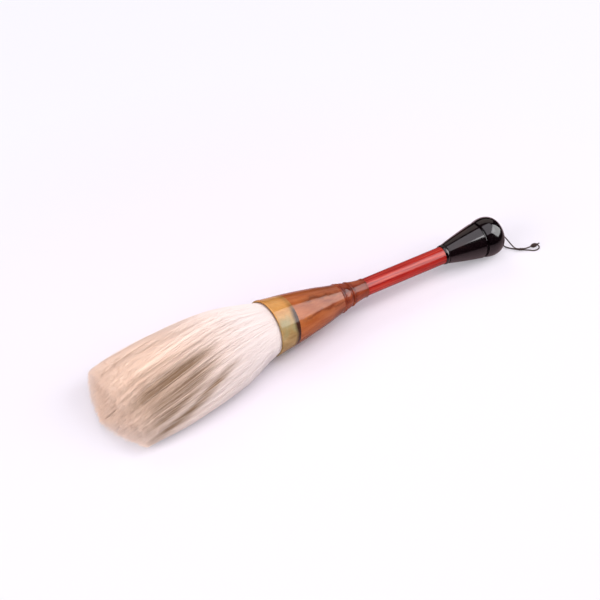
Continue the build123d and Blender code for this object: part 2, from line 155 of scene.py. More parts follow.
def rings_along(paths, radii, sides):
    """Rings of corners about paths: at each point, equal turns in the plane across the path.

    The last axis but one of paths runs along each path. One side of the plane is the path's
    direction crossed with a fixed direction, and the other is at a right angle to both.
    """
    ahead = np.gradient(paths, axis=-2)
    ahead /= np.linalg.norm(ahead, axis=-1, keepdims=True)
    side = np.cross(ahead, OFF_EVERY_PATH)
    side /= np.linalg.norm(side, axis=-1, keepdims=True)
    over = np.cross(ahead, side)
    turns = (np.arange(sides) * 2 * pi / sides)[:, None]
    ring = side[..., None, :] * np.cos(turns) + over[..., None, :] * np.sin(turns)
    return paths[..., None, :] + ring * radii[..., None, None]


def smooth_step(value, low=0.0, high=1.0):
    """0 up to a low value, 1 from a high one, and between them a soft rise: 3 t^2 - 2 t^3."""
    held = np.clip((value - low) / (high - low), 0.0, 1.0)
    return held * held * (3 - 2 * held)


# ---- materials --------------------------------------------------------------------------------


def add_node(tree, kind, settings=(), inputs=()):
    """A new shader node with its settings and its inputs, each a value or another node's output."""
    node = tree.nodes.new(kind)
    for key, value in dict(settings).items():
        setattr(node, key, value)
    for key, value in dict(inputs).items():
        if isinstance(value, bpy.types.NodeSocket):
            tree.links.new(value, node.inputs[key])
        else:
            node.inputs[key].default_value = value
    return node


def mix_colours(tree, share, first, second):
    """A mix of two colours, each a colour or another node's output."""
    first, second = (value if isinstance(value, bpy.types.NodeSocket) else rgba(value)
                     for value in (first, second))
    mix = add_node(tree, "ShaderNodeMix", {"data_type": "RGBA"}, {0: share, 6: first, 7: second})
    return mix.outputs[2]


class Finish:
    """A procedural material under construction: one Principled shader and the nodes that feed it."""

    def __init__(self, name, **sockets):
        self.material = bpy.data.materials.new(name)
        self.material.use_nodes = True
        self.tree = self.material.node_tree
        self.shader = self.tree.nodes["Principled BSDF"]
        for socket, value in sockets.items():
            self.shader.inputs[socket.replace("_", " ")].default_value = value

    def node(self, kind, settings=(), inputs=()):
        """A new node of this material."""
        return add_node(self.tree, kind, settings, inputs)

    def feed(self, socket, output):
        """Join a node's output to one of the shader's sockets."""
        self.tree.links.new(output, self.shader.inputs[socket])

    def along_brush(self, scale=(1.0, 1.0, 1.0)):
        """Object coordinates turned onto the brush's axis: X is the distance from the mouth."""
        place = self.node("ShaderNodeTexCoord").outputs["Object"]
        settings = {"vector_type": "TEXTURE"}
        turned = self.node("ShaderNodeMapping", settings, {
            "Vector": place, "Location": mouth, "Rotation": (0, tilt, 0)}).outputs[0]
        return self.node("ShaderNodeMapping", {}, {"Vector": turned, "Scale": scale}).outputs[0]

    def noise(self, vector, scale, detail=4.0, roughness=0.5, distortion=0.0):
        """The grey value of a noise."""
        return self.node("ShaderNodeTexNoise", {}, {
            "Vector": vector, "Scale": scale, "Detail": detail, "Roughness": roughness,
            "Distortion": distortion}).outputs[0]

    def ramp(self, value, *stops):
        """A colour ramp through pairs of position and colour."""
        node = self.node("ShaderNodeValToRGB", {}, {0: value})
        elements = node.color_ramp.elements
        while len(elements) < len(stops):
            elements.new(0.5)
        for element, (position, colour) in zip(elements, stops):
            element.position = position
            element.color = rgba(colour)
        return node.outputs[0]

    def mix(self, share, first, second):
        """A mix of two colours of this material."""
        return mix_colours(self.tree, share, first, second)

    def math(self, operation, first, second=0.0):
        """One step of arithmetic."""
        return self.node("ShaderNodeMath", {"operation": operation}, {0: first, 1: second}).outputs[0]

    def between(self, value, low, high, new_low=0.0, new_high=1.0):
        """A value carried from one range to another and held inside it."""
        return self.node("ShaderNodeMapRange", {}, {
            0: value, 1: low, 2: high, 3: new_low, 4: new_high}).outputs[0]

    def vein(self, angle, half_width, start, end, share):
        """How far a place lies in a wavy vein that runs along the brush at an angle round it."""
        split = self.node("ShaderNodeSeparateXYZ", {}, {0: self.along_brush()}).outputs
        wave = self.noise(self.along_brush((90, 25, 25)), 1.0, 3, 0.6)
        off = self.math("SUBTRACT", self.math("ARCTAN2", split[2], split[1]), angle)
        wander = self.math("MULTIPLY", self.math("SUBTRACT", wave, 0.5), VEIN_WANDER)
        off = self.math("ADD", off, wander)
        inside = self.between(self.math("ABSOLUTE", off), half_width, 0.0, 0.0, share)
        begun = self.between(split[0], start, start + VEIN_FADE)
        ended = self.between(split[0], end + VEIN_FADE, end)
        return self.math("MULTIPLY", inside, self.math("MULTIPLY", begun, ended))

    def bump(self, height, strength, distance):
        """Relief on the surface."""
        self.feed("Normal", self.node("ShaderNodeBump", {}, {
            "Height": height, "Strength": strength, "Distance": distance}).outputs[0])


# Darker veins in the cup's horn: the angle round the axis, the half width in radians, where the
# vein starts and ends along the cup in metres, and how strong it is.
CUP_VEINS = (
    (1.98, 0.2, 0.022, 0.052, 0.9),
    (2.68, 0.12, 0.016, 0.056, 0.6),
    (0.6, 0.2, 0.02, 0.05, 0.5),
    (-1.0, 0.2, 0.02, 0.05, 0.5),
)
VEIN_WANDER = 0.7
VEIN_FADE = 8 * MM


def amber_horn():
    """Polished amber horn: warm orange with darker streaks that run along the cup."""
    finish = Finish("amber_horn", Roughness=0.13)
    streaks = finish.noise(finish.along_brush((14, 70, 70)), 1.0, 5, 0.55, 0.6)
    fine = finish.noise(finish.along_brush((40, 420, 420)), 1.0, 3, 0.6)
    along = finish.node("ShaderNodeSeparateXYZ", {}, {0: finish.along_brush()}).outputs[0]
    front = finish.ramp(streaks, (0.25, srgb(112, 50, 20)), (0.48, srgb(164, 82, 38)),
                        (0.62, srgb(178, 96, 48)), (0.8, srgb(198, 124, 68)))
    rear = finish.ramp(streaks, (0.3, srgb(84, 34, 26)), (0.5, srgb(146, 74, 50)),
                       (0.66, srgb(166, 94, 66)), (0.8, srgb(180, 116, 84)))
    base = finish.mix(finish.between(along, 0.026, 0.056), front, rear)
    for angle, half_width, start, end, share in CUP_VEINS:
        vein = finish.vein(angle, half_width, start, end, share)
        base = finish.mix(vein, base, srgb(86, 34, 26))
    finish.feed("Base Color", finish.mix(0.2, base, finish.ramp(
        fine, (0.3, srgb(110, 50, 26)), (0.7, srgb(200, 136, 84)))))
    finish.feed("Roughness", finish.between(fine, 0.3, 0.7, 0.1, 0.17))
    finish.bump(streaks, 0.12, 0.0006)
    return finish.material


def pale_horn():
    """Pale horn of the mouth band: ochre, greenish in places, dark and mottled at its rear."""
    finish = Finish("pale_horn", Roughness=0.14)
    place = finish.along_brush()
    split = finish.node("ShaderNodeSeparateXYZ", {}, {0: place})
    along, across, height = split.outputs[0], split.outputs[1], split.outputs[2]
    cloud = finish.noise(finish.along_brush((60, 90, 90)), 1.0, 5, 0.6, 0.4)
    fine = finish.noise(finish.along_brush((50, 500, 500)), 1.0, 3, 0.6)
    olive = finish.ramp(cloud, (0.3, srgb(142, 112, 66)), (0.5, srgb(172, 140, 90)),
                        (0.7, srgb(194, 162, 112)))
    ochre = finish.ramp(cloud, (0.3, srgb(190, 124, 60)), (0.5, srgb(210, 152, 84)),
                        (0.7, srgb(222, 172, 108)))
    base = finish.mix(finish.between(height, 0.0125, 0.018), olive, ochre)
    green = finish.noise(finish.along_brush((70, 60, 60)), 1.3, 2, 0.5)
    base = finish.mix(finish.between(green, 0.5, 0.66, 0.0, 0.5), base, srgb(136, 146, 108))
    base = finish.mix(finish.between(fine, 0.35, 0.7, 0.0, 0.22), base, srgb(120, 92, 44))
    # A dark brown stain lies along the band's rear edge, strongest on its -Y side.
    edge = finish.math("ADD", along, finish.math("MULTIPLY", cloud, 0.006))
    patches = finish.between(across, -0.005, -0.01, 0.35, 1.0)
    stain = finish.math("MULTIPLY", finish.between(edge, 0.0145, 0.0172), patches)
    finish.feed("Base Color", finish.mix(stain, base, srgb(66, 40, 30)))
    finish.feed("Roughness", finish.between(fine, 0.3, 0.7, 0.1, 0.18))
    finish.bump(cloud, 0.1, 0.0005)
    return finish.material


def neck_horn():
    """Reddish brown horn of the rings at the neck."""
    finish = Finish("neck_horn", Roughness=0.14)
    streaks = finish.noise(finish.along_brush((60, 160, 160)), 1.0, 4, 0.55, 0.4)
    finish.feed("Base Color", finish.ramp(
        streaks, (0.3, srgb(78, 26, 18)), (0.55, srgb(136, 58, 34)), (0.75, srgb(172, 96, 60))))
    finish.bump(streaks, 0.1, 0.0004)
    return finish.material


def red_lacquer():
    """Red lacquer over wood, whose grain still shows as fine streaks."""
    finish = Finish("red_lacquer", Roughness=0.16)
    grain = finish.noise(finish.along_brush((22, 900, 900)), 1.0, 4, 0.6, 0.2)
    cloud = finish.noise(finish.along_brush((40, 120, 120)), 1.0, 3, 0.5)
    lacquer = finish.ramp(grain, (0.3, srgb(122, 18, 18)), (0.55, srgb(178, 42, 32)),
                          (0.75, srgb(202, 84, 60)))
    finish.feed("Base Color", finish.mix(finish.between(cloud, 0.4, 0.7, 0.0, 0.35), lacquer,
                                         srgb(120, 20, 20)))
    finish.bump(grain, 0.06, 0.0002)
    return finish.material


def black_horn():
    """Polished black horn, faintly brown where it is thin."""
    finish = Finish("black_horn", Roughness=0.1, Specular_IOR_Level=1.0)
    streaks = finish.noise(finish.along_brush((20, 90, 90)), 1.0, 5, 0.55, 0.5)
    fine = finish.noise(finish.along_brush((200, 600, 600)), 1.0, 3, 0.6)
    finish.feed("Base Color", finish.ramp(
        streaks, (0.35, srgb(6, 3, 5)), (0.6, srgb(16, 8, 10)), (0.78, srgb(46, 24, 22))))
    finish.feed("Roughness", finish.between(fine, 0.3, 0.7, 0.06, 0.15))
    finish.bump(fine, 0.03, 0.0002)
    return finish.material


def wood_of_the_peg():
    """Bare pale wood with a fine grain along the brush."""
    finish = Finish("peg_wood", Roughness=0.7)
    grain = finish.noise(finish.along_brush((80, 1500, 1500)), 1.0, 4, 0.6)
    finish.feed("Base Color", finish.ramp(grain, (0.3, srgb(104, 76, 48)), (0.7, srgb(168, 132, 90))))
    return finish.material


def rosin():
    """Dark amber glue."""
    finish = Finish("rosin", Roughness=0.3)
    cloud = finish.noise(finish.along_brush((90, 90, 90)), 1.0, 4, 0.5)
    finish.feed("Base Color", finish.ramp(cloud, (0.3, srgb(96, 52, 20)), (0.7, srgb(150, 92, 40))))
    return finish.material


def thread(name, dark, light, fineness):
    """Matt thread: dark and light fibre, as fine as asked for, that stands up a little."""
    finish = Finish(name, Roughness=0.85, Sheen_Weight=0.2, Sheen_Roughness=0.5)
    fibre = finish.noise(finish.along_brush((fineness, fineness, fineness)), 1.0, 4, 0.7)
    finish.feed("Base Color", finish.ramp(fibre, (0.3, dark), (0.7, light)))
    finish.bump(fibre, 0.4, 0.0002)
    return finish.material


def goat_hair():
    """Goat hair: the colour comes with each hair, from its root to its tip, painted shade included."""
    finish = Finish("goat_hair", Roughness=0.6, Specular_IOR_Level=0.2)
    shade = finish.node("ShaderNodeAttribute", {"attribute_name": "hair_colour"}).outputs[0]
    finish.feed("Base Color", shade)
    return finish.material


def give(material, *names):
    """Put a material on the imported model's own pieces."""
    for name in names:
        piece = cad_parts[name]
        piece.data.materials.clear()
        piece.data.materials.append(material)


# ---- hair -------------------------------------------------------------------------------------

# How the tuft lies: the distance forward of the mouth, half its width, its reach above and below
# its middle, and how high that middle is over the surface, all in millimetres.
TUFT_STATIONS = np.array((
    (-10.5, 16.2, 16.2, 16.2, 20.03),
    (0.0, 18.55, 18.55, 18.55, 20.39),
    (12.0, 23.4, 23.2, 18.6, 19.0),
    (30.0, 29.8, 30.0, 16.75, 16.0),
    (50.0, 34.9, 31.2, 14.95, 14.2),
    (72.0, 38.9, 27.8, 13.35, 12.6),
    (94.0, 41.8, 22.8, 12.15, 11.4),
    (112.0, 41.7, 18.6, 11.25, 10.5),
    (133.0, 40.6, 14.6, 9.95, 9.2),
))
SKIN_DEPTH = 0.984
HAIR_DEPTHS = (0.02, 0.98)
UNDERSIDE_POWER = 0.72
SETTLED_FROM = 30.0
DROOP_FROM = 98.0
DROOP_TO = 134.0
DROOP = 0.8

# What hairs lose of their length, in millimetres: all of them, near the tuft's skin, on its +Y
# side, at both of its sides, by chance, and by chance as a whole lock.
TIPS_BACK = 1.0
TIP_ROUNDING = 7.0
TIP_SLANT = 3.4
TIP_CORNERS = 4.2
LENGTH_SCATTER = 9.0
LOCK_SCATTER = 1.5


def smooth_through(stops, values, at):
    """A smooth curve through values: a cubic between each two, with slopes from their neighbours."""
    slopes = np.gradient(values, stops)
    index = np.clip(np.searchsorted(stops, at) - 1, 0, len(stops) - 2)
    gap = stops[index + 1] - stops[index]
    t = (at - stops[index]) / gap
    rise = t * t * (3 - 2 * t)
    return (values[index] * (1 - rise) + values[index + 1] * rise
            + gap * t * (1 - t) * ((1 - t) * slopes[index] - t * slopes[index + 1]))


def tuft_points(forward, depth, angle):
    """Places in the tuft, in metres, from arrays of millimetres forward, depth and angle.

    Depth is 0 at the tuft's middle and 1 at its skin. Above the middle the section is half an
    ellipse. Below it the sine of the angle is raised to a power under one, which squares the
    underside off, and its reach ends where the outermost hair lies flat on the surface. Towards
    the tips all heights shrink as a quarter ellipse, so the hair droops onto the surface.
    """
    stops = TUFT_STATIONS[:, 0]
    half_width, above, below, middle = (
        smooth_through(stops, TUFT_STATIONS[:, column], forward) for column in (1, 2, 3, 4))
    droop = np.sqrt(1 - DROOP * np.clip((forward - DROOP_FROM) / (DROOP_TO - DROOP_FROM), 0, 1) ** 2)
    above, below, middle = above * droop, below * droop, middle * droop
    settled = np.clip(forward / SETTLED_FROM, 0.0, 1.0)
    lift = np.sin(angle)
    reach = below * np.abs(lift) ** (1 - (1 - UNDERSIDE_POWER) * settled)
    height = depth * np.where(lift >= 0, above * lift, -np.minimum(reach, middle / SKIN_DEPTH))
    lean = height * tan(tilt) * (1 - settled)
    x = mouth.x / MM - forward * cos(tilt) + lean
    return np.stack((x, half_width * depth * np.cos(angle), middle + height), axis=-1) * MM


HAIR_SIDES = 3
LOWEST_HAIR = 0.02 * MM


def hair_strands(name, paths, radii, colours):
    """Hairs as thin tubes: each path is a row of points, thick as its row of radii says.

    Each point of a path has a ring of corners about it, none lower than the surface that the
    brush lies on, and both ends are closed.
    """
    count, length = paths.shape[:2]
    points = rings_along(paths, radii, HAIR_SIDES)
    points[..., 2] = np.maximum(points[..., 2], LOWEST_HAIR)
    corners = length * HAIR_SIDES
    one_hair = grid_quads(length, HAIR_SIDES, wrapped=True)
    first = (np.arange(count) * corners)[:, None, None]
    caps = np.array(((2, 1, 0), (corners - 3, corners - 2, corners - 1)))
    corner_colours = np.repeat(colours[:, :, None], HAIR_SIDES, axis=2).reshape(-1, 3)
    return mesh_object(name, points.reshape(-1, 3), first + one_hair, first + caps, corner_colours)


WHITE = srgb(237, 226, 221)
CREAM = srgb(238, 223, 214)
PEACH = srgb(252, 228, 208)
TAN = srgb(250, 224, 209)
# Brown for the clefts and for deep hair: partly browner hair, partly painted shade.
BROWN_HAIR_AND_SHADE = srgb(154, 125, 96)

# Clefts between locks, where brown is painted: partly browner hair, partly painted shade in the cleft.
# For each: how far forward and at what angle it starts and ends, its half width in degrees, how deep it
# goes and how brown it is.
CLEFTS = (
    (44.0, 117.5, 122.0, 116.0, 9.5, 0.003, 0.9),
    (58.0, 135.0, 124.0, 160.0, 6.0, 0.005, 0.9),
    (34.0, 143.0, 114.0, 175.0, 5.4, 0.01, 1.0),
    (46.0, 131.0, 128.0, 147.0, 14.0, 0.0, 0.8),
    (2.0, 120.0, 84.0, 96.5, 1.2, 0.004, 0.3),
    (46.0, 84.0, 96.0, 64.0, 2.0, 0.004, 0.25),
    (62.0, 101.5, 112.0, 94.0, 2.6, 0.006, 0.4),
    (40.0, 20.0, 120.0, 10.0, 3.0, 0.006, 0.3),
    (55.0, -30.0, 120.0, -22.0, 3.0, 0.02, 0.5),
    (30.0, 235.0, 110.0, 225.0, 3.0, 0.02, 0.5),
)
CLEFT_RUNS_ON = 1.2
BROWN_AND_SHADE_REACH = 1.6


# How hairs lie in a lock. Widths are shares of the lock's, angles are radians, and depths are
# shares of the tuft's: how far hairs spread from the lock's middle, how much the lock narrows
# towards its tip, how it sways, how single hairs wave, how much deeper the lock's edges lie, how
# far a whole lock settles, and how high and how rare stray hairs are.
LOCK_JITTER = 0.45
LOCK_SPREAD = 0.62
LOCK_NARROWING = 0.12
LOCK_SWAY = 0.012
HAIR_WAVE = 0.006
LOCK_GROOVE = 0.012
LOCK_SETTLING = 0.012
STRAY_HEIGHT = 0.035
STRAY_RARITY = 16


def lock_layout(chance, count):
    """Angles of the locks' middles round the tuft, unevenly spaced."""
    steps = 1 + LOCK_JITTER * chance.uniform(-1, 1, count)
    return np.cumsum(steps) * 2 * pi / steps.sum()


def cleft_share(forward, angle):
    """How deep a cleft is at a place, as a share of the tuft's depth, and how brown, 0 to 1.

    A cleft runs on a slanted line over the tuft. Across the line it falls off as a bell, whose width
    grows along it, and it fades in from its start. Its brown, partly browner hair and partly painted
    shade, reaches wider than its depth.
    """
    depth = np.zeros(np.broadcast(forward, angle).shape)
    brown = np.zeros_like(depth)
    for near, near_angle, far, far_angle, half_width, deep, shade in CLEFTS:
        share = (forward - near) / (far - near)
        line = np.radians(near_angle + (far_angle - near_angle) * np.clip(share, 0, CLEFT_RUNS_ON))
        off = (angle - line + pi) % (2 * pi) - pi
        open_to = smooth_step(share, 0, 0.35) * (share > 0)
        width = np.radians(half_width) * (0.35 + 0.65 * np.clip(share, 0, 1))
        bell = np.exp(-((off / width) ** 2)) * open_to
        depth = np.maximum(depth, deep * bell)
        # The cleft's brown, partly browner hair and partly painted shade, reaches wider than its depth.
        wide_bell = np.exp(-((off / (BROWN_AND_SHADE_REACH * width)) ** 2)) * open_to
        brown = np.maximum(brown, shade * wide_bell)
    return depth, brown


def comb_hairs(chance, count, locks, low, high, start, steps):
    """Hairs in locks between two depths of the tuft, from a distance forward to their tips.

    Each hair keeps its place across its lock, which narrows towards its tip, and the edges of a
    lock lie deeper than its middle, so that clefts open between locks.
    """
    lock = chance.integers(0, len(locks), count)
    lock_width = 2 * pi / len(locks)
    across = chance.uniform(-1, 1, count)[:, None]
    down = chance.uniform(0, 1, count)[:, None] ** 1.3
    lock_length = chance.uniform(-1, 1, len(locks))[lock][:, None]
    bend = chance.normal(0, 1, len(locks))[lock][:, None]
    lock_depth = chance.uniform(0, 1, len(locks))[lock][:, None]
    middle = locks[lock][:, None]
    skin = high - (high - low) * down
    length = (TUFT_LENGTH / MM - TIPS_BACK
              - LENGTH_SCATTER * chance.uniform(0, 1, (count, 1)) ** 1.6
              - TIP_ROUNDING * skin**3 - TIP_SLANT * skin * (1 + np.cos(middle))
              - TIP_CORNERS * (skin * np.cos(middle)) ** 2 + LOCK_SCATTER * lock_length)
    share = np.linspace(0, 1, steps)[None, :] ** 0.9
    forward = start + (length - start) * share
    along = np.clip(forward / (TUFT_LENGTH / MM), 0, 1)
    narrowing = 1 - LOCK_NARROWING * smooth_step(along, 0.12, 0.82)
    sway = LOCK_SWAY * bend * smooth_step(along, 0.15, 0.95)
    wave = HAIR_WAVE * chance.normal(0, 1, (count, 1)) * np.sin(
        2 * pi * (along * chance.uniform(0.6, 1.6, (count, 1)) + chance.uniform(0, 1, (count, 1))))
    off_middle = LOCK_SPREAD * lock_width * across * narrowing
    angle = middle + off_middle + sway + wave * smooth_step(along, 0, 0.3)
    groove = LOCK_GROOVE * smooth_step(along, 0.1, 0.6) * across**2
    settle = LOCK_SETTLING * lock_depth * smooth_step(along, 0.15, 0.65)
    cleft, brown = cleft_share(forward, angle)
    depth = np.clip(skin - groove - settle - cleft, *HAIR_DEPTHS)
    # A few hairs of the upper side stand a little off the rest.
    stray = STRAY_HEIGHT * chance.uniform(0, 1, (count, 1)) ** STRAY_RARITY * (low > 0.9)
    depth = depth + stray * smooth_step(along, 0.1, 0.7) * np.clip(np.sin(angle) + 0.2, 0, 1)
    return tuft_points(forward, depth, angle), along, angle, depth, brown


# Streaks round the tuft, how far tips turn tan, how far deep hair is darkened to brown as painted shade,
# how far the clefts' brown and painted shade fade at the tips, how much hairs differ in tone, and the
# brightest that hair may be.
FINE_STREAKS = 420
BROAD_STREAKS = 90
TAN_TIPS = 0.35
DEEP_SHADE = 0.22
BROWN_AND_SHADE_FADE = 0.82
HAIR_TONE = 0.03
STREAK_TONE = 0.015
BRIGHTEST = 0.975


def streaks_round(table, angle):
    """A smooth random value round the tuft: a table of values, read between its entries."""
    place = (angle / (2 * pi) % 1.0) * len(table)
    low = np.floor(place).astype(int)
    share = smooth_step(place - low)
    return table[low % len(table)] * (1 - share) + table[(low + 1) % len(table)] * share


def hair_colours(chance, along, angle, depth, brown, layer_shade):
    """White at the mouth, peach above and tan at the tips, cream below, and brown in some streaks.

    Streaks run with the hairs: each hair takes its tone from where it leaves the cup. Brown comes from
    the clefts, where it is partly browner hair and partly painted shade, and from deep in the tuft,
    where it is painted shade, and fades towards the tips.
    """
    count = len(along)
    own = chance.uniform(0, 1, (count, 1))
    start = angle[:, 2:3]
    fine = streaks_round(chance.normal(0, 1, FINE_STREAKS), start)
    broad = streaks_round(chance.normal(0, 1, BROAD_STREAKS), start)
    tip = smooth_step(along, 0.1, 0.85)
    upper = smooth_step(np.sin(angle), 0.15, 0.95)
    far_tip = smooth_step(along, 0.72, 0.98)
    warm = tip * np.clip(upper + 0.16 * fine + 0.1 * broad, 0, 1)
    colour = WHITE * (1 - tip[..., None]) + CREAM * tip[..., None]
    colour = colour * (1 - warm[..., None]) + PEACH * warm[..., None]
    tan_streaks = (0.05 + 0.1 * tip) * np.abs(fine) * (fine > 0.2)
    tan_share = np.clip(TAN_TIPS * far_tip + tan_streaks, 0, 0.7)
    colour = colour * (1 - tan_share[..., None]) + TAN * tan_share[..., None]
    # The clefts' brown, partly browner hair and partly painted shade, fades at the tips.
    brown = brown * (1 - BROWN_AND_SHADE_FADE * smooth_step(along, 0.77, 0.97))
    # Deep hair is darkened to brown, and so, at random, are hairs of the deeper layers: painted shade.
    deep_shade = (np.clip(1.2 * (0.84 - depth), 0, DEEP_SHADE) * smooth_step(along, 0.15, 0.55)
             * (1 - 0.7 * far_tip))
    share = np.clip(np.maximum(brown * (0.88 + 0.34 * fine + 0.4 * (own - 0.5)),
                               deep_shade + layer_shade * own), 0, 1)[..., None]
    tone = 1 + HAIR_TONE * chance.normal(0, 1, (count, 1, 1)) + STREAK_TONE * broad[..., None]
    return np.clip((colour * (1 - share) + BROWN_HAIR_AND_SHADE * share) * tone, 0, BRIGHTEST)


def taper(steps):
    """How thick a hair is along its length: even from the root, then fine at its tip."""
    return 1 - 0.55 * smooth_step(np.linspace(0, 1, steps), 0.7, 1)


# The layers of hair: name, pieces of mesh, locks, the depths that its hairs keep between, how far
# forward of the mouth they start in millimetres, points along a hair, its radius in millimetres, and how
# much painted shade, as brown spread at random over its hairs, it takes.
LAYERS = (
    ("cover_hairs", 5, 97, 0.94, 0.982, -6.0, 11, 0.13, 0.0),
    ("lining_hairs", 1, 47, 0.7, 0.92, 20.0, 9, 0.14, 0.1),
    ("core_hairs", 2, 31, 0.03, 0.75, 70.0, 7, 0.15, 0.12),
)
HAIRS_A_PIECE = 3200
HAIR_SEED = 20


def make_hair():
    """The tuft: a solid heart that stops light, and tens of thousands of hairs in locks over it."""
    chance = np.random.default_rng(HAIR_SEED)
    material = goat_hair()
    for name, batches, lock_count, low, high, start, steps, radius, layer_shade in LAYERS:
        locks = lock_layout(chance, lock_count)
        for batch in range(batches):
            paths, along, angle, depth, brown = comb_hairs(
                chance, HAIRS_A_PIECE, locks, low, high, start, steps)
            colours = hair_colours(chance, along, angle, depth, brown, layer_shade)
            thick = radius * MM * chance.uniform(0.75, 1.15, (len(paths), 1))
            piece = hair_strands(f"{name}_{batch + 1}", paths, thick * taper(steps), colours)
            piece.data.materials.append(material)
            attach(piece, "brush")
    heart = hair_heart(chance)
    heart.data.materials.append(material)
    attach(heart, "brush")
    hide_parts("core_hair", "lining_hair", "cover_hair")


HEART_ROWS = 60
HEART_COLUMNS = 360
HEART_DEPTH = 0.945
HEART_START = -9.0
HEART_END = 121.0
HEART_GROOVE = 0.006
HEART_GROOVE_COUNTS = (17, 23, 31, 43, 59, 83)
HEART_CLOSING = 0.9995


def hair_heart(chance):
    """The heart of the tuft: its own form, a little under the skin, with fine grooves along it.

    Rows run forward and columns round it. Its front draws in as a quarter ellipse, nearly to a
    point.
    """
    rows, columns = HEART_ROWS, HEART_COLUMNS
    forward = np.linspace(HEART_START, HEART_END, rows)[:, None]
    angle = np.linspace(0, 2 * pi, columns, endpoint=False)[None, :]
    grooves = sum(chance.uniform(0.3, 1) * np.sin(angle * turns + chance.uniform(0, 2 * pi))
                  for turns in HEART_GROOVE_COUNTS)
    front = np.clip((forward - DROOP_FROM) / (HEART_END - DROOP_FROM), 0, 1)
    depth = (HEART_DEPTH * np.sqrt(1 - HEART_CLOSING * front**2)
             + HEART_GROOVE * grooves * smooth_step(forward, 0, 40) * (1 - front))
    forward, angle = np.broadcast_arrays(forward, angle)
    along = np.clip(forward / (TUFT_LENGTH / MM), 0, 1)
    # The heart takes the clefts' brown too: partly browner hair, partly painted shade.
    brown = cleft_share(forward, angle)[1]
    colours = hair_colours(chance, along.T, angle.T, 1.0, brown.T, 0.0)
    colours = np.swapaxes(colours, 0, 1).reshape(-1, 3)
    colours = np.concatenate((colours, colours[:1], colours[-1:]))
    points = tuft_points(forward, depth, angle).reshape(-1, 3)
    ends = (points[:columns].mean(axis=0), points[-columns:].mean(axis=0))
    points = np.concatenate((points, ends))
    quads = grid_quads(rows, columns, wrapped=True)
    return mesh_object("hair_heart", points, quads, end_fans(rows, columns), colours)


# ---- cord -------------------------------------------------------------------------------------

CORD_DIAMETER = 0.9 * MM
cord_exit = mouth + axis_direction * (198.7 * MM)

# Points of the cord in millimetres: how far past its exit, how far to the side, and how high.
UPPER_LEG = ((0.0, -0.6, 13.7), (2.2, -1.0, 12.4), (4.9, -3.0, 9.8), (6.7, -5.4, 6.4),
             (8.0, -7.9, 3.6), (9.0, -10.3, 2.0), (11.0, -12.6, 1.95))
EYE = ((12.8, -13.6, 1.95), (15.4, -14.6, 1.7), (18.4, -14.7, 1.7), (21.5, -14.8, 1.8),
       (24.4, -15.4, 1.8), (25.1, -16.8, 1.4), (24.3, -18.7, 0.9), (22.0, -19.4, 0.6),
       (19.4, -18.6, 0.5), (17.3, -16.5, 0.5), (15.0, -14.6, 0.6), (12.9, -13.2, 0.85))
LOWER_LEG = ((11.0, -11.8, 0.85), (8.9, -8.4, 0.55), (6.8, -5.4, 0.5), (5.1, -2.6, 0.85),
             (5.0, 0.2, 4.1), (4.2, 0.9, 8.5), (2.1, 0.6, 12.2), (0.0, 0.6, 13.7))
KNOT_ENDS = ((10.4, -11.7, 1.4), (13.9, -14.0, 1.4))
END_KNOT_ENDS = ((19.9, -14.7, 1.8), (24.6, -15.5, 1.8))
TAIL_ENDS = ((25.2, -15.5, 1.9), (26.6, -15.5, 2.0))
KNOT_TURN_RADIUS = 0.62 * MM
END_KNOT_TURN_RADIUS = 1.15 * MM
KNOT_STEPS_A_TURN = 28
KNOT_CORD_RADIUS = 0.46 * MM
KNOT_CORD_SIDES = 10
TAIL_FROM_POINT = -4


def past_exit(offset):
    """A place of the cord, in metres, from its place past the cord's exit."""
    return Vector((cord_exit.x + offset[0] * MM, offset[1] * MM, offset[2] * MM))


def make_cord():
    """The hanging loop: one cord from the hole, through the knot, round the eye and back."""
    data = bpy.data.curves.new("hanging_cord", "CURVE")
    data.dimensions = "3D"
    data.resolution_u = 10
    data.bevel_depth = CORD_DIAMETER / 2
    data.bevel_resolution = 3
    data.use_fill_caps = True
    route = [past_exit(offset) for offset in UPPER_LEG + EYE + LOWER_LEG]
    spline = data.splines.new("NURBS")
    spline.points.add(len(route) - 1)
    for point, place in zip(spline.points, route):
        point.co = (*place, 1.0)
    spline.order_u = 3
    spline.use_endpoint_u = True
    cord = bpy.data.objects.new("hanging_cord", data)
    bpy.context.collection.objects.link(cord)
    return cord


def wound_knot(name, ends, turns, radius, tail=None):
    """A knot pulled tight: a helix of cord about the line between its ends, fat in its middle.

    The helix's radius follows the root of a half sine wave. A tail takes the place of its last
    points.
    """
    start, end = (np.array(past_exit(offset)) for offset in ends)
    ahead = (end - start) / np.linalg.norm(end - start)
    side = np.cross(ahead, (0, 0, 1.0))
    side /= np.linalg.norm(side)
    over = np.cross(side, ahead)
    t = np.linspace(0, 1, KNOT_STEPS_A_TURN * turns)
    swell = np.sin(pi * t) ** 0.5
    turn = 2 * pi * turns * t
    path = (start + np.outer(t, end - start) + (radius * swell * np.cos(turn))[:, None] * side
            + (radius * swell * np.sin(turn))[:, None] * over)
    if tail:
        path = np.concatenate((path[:TAIL_FROM_POINT], [np.array(past_exit(offset)) for offset in tail]))
    rows = len(path)
    rings = rings_along(path, np.full(rows, KNOT_CORD_RADIUS), KNOT_CORD_SIDES).reshape(-1, 3)
    points = np.concatenate((rings, path[:1], path[-1:]))
    quads = grid_quads(rows, KNOT_CORD_SIDES, wrapped=True)
    return mesh_object(name, points, quads, end_fans(rows, KNOT_CORD_SIDES))


